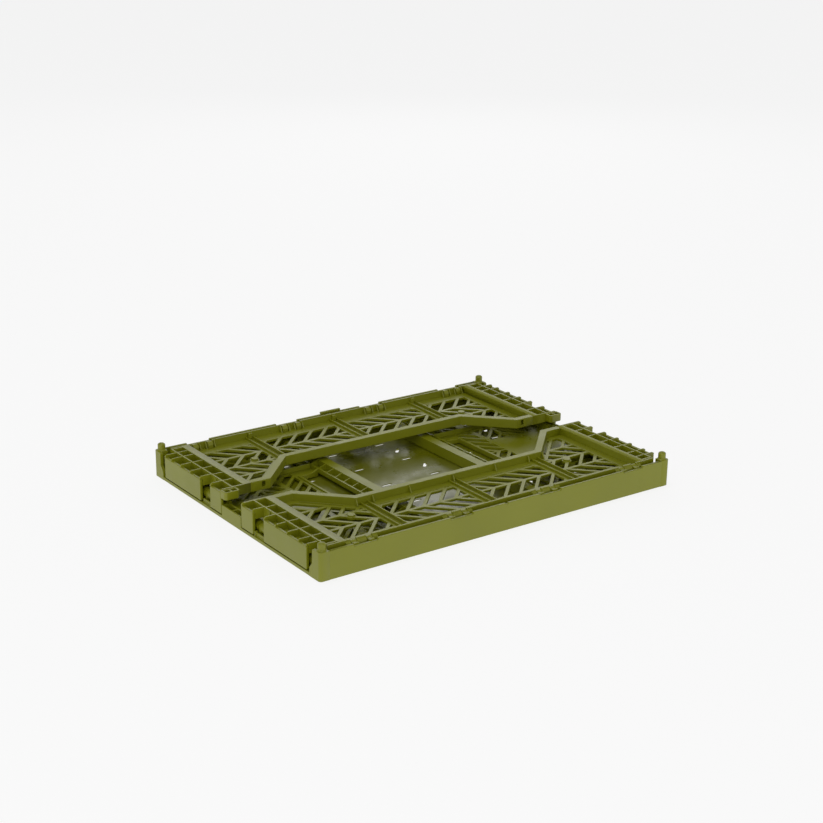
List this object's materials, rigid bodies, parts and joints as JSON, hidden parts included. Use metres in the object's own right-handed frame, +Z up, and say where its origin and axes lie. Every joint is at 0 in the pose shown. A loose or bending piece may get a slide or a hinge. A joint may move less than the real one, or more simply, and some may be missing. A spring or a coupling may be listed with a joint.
{
  "type": "collapsible storage crate",
  "caption": "Folding plastic crate lying flat: skirted base with stacking pins, two end walls and two herringbone long walls on hinges.",
  "frame": {"origin": "centre of the footprint, on the surface the crate stands on", "axes": "+X along the crate's length, +Y across its width towards the skirt with the raised tab, +Z up"},
  "size_m": [0.4, 0.3, 0.034],
  "materials": {
    "base_plastic": "fine moulded texture, satin",
    "wall_plastic": "fine moulded texture, satin"
  },
  "bodies": {
    "base": {"base_floor": "base_plastic", "floor_ribs": "base_plastic", "skirt_front": "base_plastic", "skirt_back": "base_plastic", "corner_posts": "base_plastic", "stacking_pins": "base_plastic", "end_sill_left": "base_plastic", "end_sill_right": "base_plastic", "long_hinge_ears": "base_plastic", "end_hinge_ears": "base_plastic", "skirt_tab": "base_plastic"},
    "front_wall": {"front_wall_rail": "wall_plastic", "front_wall_panel": "wall_plastic", "front_wall_rim": "wall_plastic", "front_wall_columns": "wall_plastic", "front_wall_end_plates": "wall_plastic", "front_wall_ribs": "wall_plastic"},
    "back_wall": {"back_wall_rail": "wall_plastic", "back_wall_panel": "wall_plastic", "back_wall_rim": "wall_plastic", "back_wall_columns": "wall_plastic", "back_wall_end_plates": "wall_plastic", "back_wall_lugs": "wall_plastic", "back_wall_ribs": "wall_plastic"},
    "left_wall": {"left_wall_rail": "wall_plastic", "left_wall_panel": "wall_plastic", "left_wall_rim": "wall_plastic", "left_wall_hand_frame": "wall_plastic", "left_wall_edges": "wall_plastic", "left_wall_latches": "wall_plastic"},
    "right_wall": {"right_wall_rail": "wall_plastic", "right_wall_panel": "wall_plastic", "right_wall_rim": "wall_plastic", "right_wall_hand_frame": "wall_plastic", "right_wall_edges": "wall_plastic", "right_wall_latches": "wall_plastic"}
  },
  "joints": [
    {"name": "front_wall_hinge", "type": "hinge", "parent": "base", "child": "front_wall", "pos_m": [0, -0.1405, 0.023], "axis": [1, 0, 0], "range_deg": [0, 90]},
    {"name": "back_wall_hinge", "type": "hinge", "parent": "base", "child": "back_wall", "pos_m": [0, 0.1405, 0.023], "axis": [-1, 0, 0], "range_deg": [0, 90]},
    {"name": "left_wall_hinge", "type": "hinge", "parent": "base", "child": "left_wall", "pos_m": [-0.1905, 0, 0.0097], "axis": [0, -1, 0], "range_deg": [0, 1.2]},
    {"name": "right_wall_hinge", "type": "hinge", "parent": "base", "child": "right_wall", "pos_m": [0.1905, 0, 0.0097], "axis": [0, 1, 0], "range_deg": [0, 1.2]}
  ]
}
